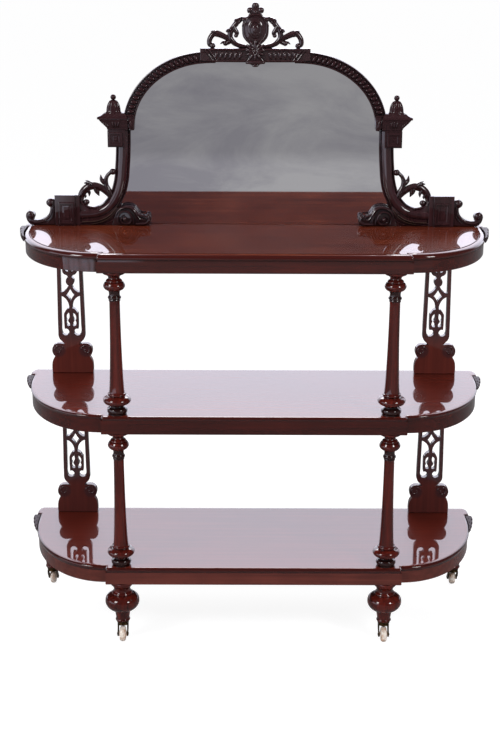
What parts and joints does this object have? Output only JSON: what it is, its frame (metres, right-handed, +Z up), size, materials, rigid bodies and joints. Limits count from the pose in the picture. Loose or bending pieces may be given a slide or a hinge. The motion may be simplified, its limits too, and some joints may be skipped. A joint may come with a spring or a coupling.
{
  "type": "etagere",
  "caption": "Mahogany tiered etagere with round-ended moulded shelves on turned columns and pierced rear supports, arched mirror back with carved crest, bun feet and castors.",
  "frame": {"origin": "on the floor under the middle of the overall box", "axes": "+Z up, front towards -Y, +X to the right of someone facing the front"},
  "size_m": [1.17, 0.399, 1.5235],
  "materials": {
    "polished_mahogany": "French polished red-brown mahogany, high gloss",
    "carved_mahogany": "carved mahogany, darkened in the hollows, satin to gloss",
    "mirror_glass": "aged silvered glass, faintly clouded",
    "backing_board": "plain unpolished softwood back board",
    "castor_brass": "tarnished cast brass",
    "castor_ceramic": "glazed cream ceramic"
  },
  "bodies": {
    "frame": {"bottom_shelf_board": "polished_mahogany", "bottom_front_rail": "polished_mahogany", "bottom_end_rail_left": "polished_mahogany", "bottom_end_rail_right": "polished_mahogany", "middle_shelf_board": "polished_mahogany", "middle_front_rail": "polished_mahogany", "middle_end_rail_left": "polished_mahogany", "middle_end_rail_right": "polished_mahogany", "top_shelf_board": "polished_mahogany", "top_front_rail": "polished_mahogany", "top_end_rail_left": "polished_mahogany", "top_end_rail_right": "polished_mahogany", "lower_column_left": "polished_mahogany", "upper_column_left": "polished_mahogany", "lower_fret_left": "polished_mahogany", "upper_fret_left": "polished_mahogany", "mirror_upright_left": "polished_mahogany", "lower_column_right": "polished_mahogany", "upper_column_right": "polished_mahogany", "lower_fret_right": "polished_mahogany", "upper_fret_right": "polished_mahogany", "mirror_upright_right": "polished_mahogany", "foot_front_left": "polished_mahogany", "foot_front_right": "polished_mahogany", "foot_rear_left": "polished_mahogany", "foot_rear_right": "polished_mahogany", "bottom_leaf_ear_left": "carved_mahogany", "bottom_leaf_ear_right": "carved_mahogany", "middle_leaf_ear_left": "carved_mahogany", "middle_leaf_ear_right": "carved_mahogany", "top_leaf_ear_left": "carved_mahogany", "top_leaf_ear_right": "carved_mahogany", "mirror_arch_left": "carved_mahogany", "capital_left": "carved_mahogany", "finial_left": "carved_mahogany", "outer_scroll_left": "carved_mahogany", "inner_scroll_left": "carved_mahogany", "pierced_leaf_left": "carved_mahogany", "mirror_arch_right": "carved_mahogany", "capital_right": "carved_mahogany", "finial_right": "carved_mahogany", "outer_scroll_right": "carved_mahogany", "inner_scroll_right": "carved_mahogany", "pierced_leaf_right": "carved_mahogany", "crown_rail": "carved_mahogany", "crest": "carved_mahogany", "mirror_glass": "mirror_glass", "mirror_back_board": "backing_board", "castor_cup_front_left": "castor_brass", "castor_cup_front_right": "castor_brass", "castor_cup_rear_left": "castor_brass", "castor_cup_rear_right": "castor_brass"},
    "fork_front_left": {"castor_fork_front_left": "castor_brass"},
    "wheel_front_left": {"castor_wheel_front_left": "castor_ceramic"},
    "fork_front_right": {"castor_fork_front_right": "castor_brass"},
    "wheel_front_right": {"castor_wheel_front_right": "castor_ceramic"},
    "fork_rear_left": {"castor_fork_rear_left": "castor_brass"},
    "wheel_rear_left": {"castor_wheel_rear_left": "castor_ceramic"},
    "fork_rear_right": {"castor_fork_rear_right": "castor_brass"},
    "wheel_rear_right": {"castor_wheel_rear_right": "castor_ceramic"}
  },
  "joints": [
    {"name": "swivel_front_left", "type": "hinge", "parent": "frame", "child": "fork_front_left", "pos_m": [-0.324, -0.1575, 0.0455], "axis": [0, 0, 1], "continuous": true},
    {"name": "roll_front_left", "type": "hinge", "parent": "fork_front_left", "child": "wheel_front_left", "pos_m": [-0.324, -0.1675, 0.019], "axis": [1, 0, 0], "continuous": true},
    {"name": "swivel_front_right", "type": "hinge", "parent": "frame", "child": "fork_front_right", "pos_m": [0.324, -0.1575, 0.0455], "axis": [0, 0, 1], "continuous": true},
    {"name": "roll_front_right", "type": "hinge", "parent": "fork_front_right", "child": "wheel_front_right", "pos_m": [0.324, -0.1675, 0.019], "axis": [1, 0, 0], "continuous": true},
    {"name": "swivel_rear_left", "type": "hinge", "parent": "frame", "child": "fork_rear_left", "pos_m": [-0.54, 0.1495, 0.0455], "axis": [0, 0, 1], "continuous": true},
    {"name": "roll_rear_left", "type": "hinge", "parent": "fork_rear_left", "child": "wheel_rear_left", "pos_m": [-0.54, 0.1595, 0.019], "axis": [1, 0, 0], "continuous": true},
    {"name": "swivel_rear_right", "type": "hinge", "parent": "frame", "child": "fork_rear_right", "pos_m": [0.54, 0.1495, 0.0455], "axis": [0, 0, 1], "continuous": true},
    {"name": "roll_rear_right", "type": "hinge", "parent": "fork_rear_right", "child": "wheel_rear_right", "pos_m": [0.54, 0.1595, 0.019], "axis": [1, 0, 0], "continuous": true}
  ]
}
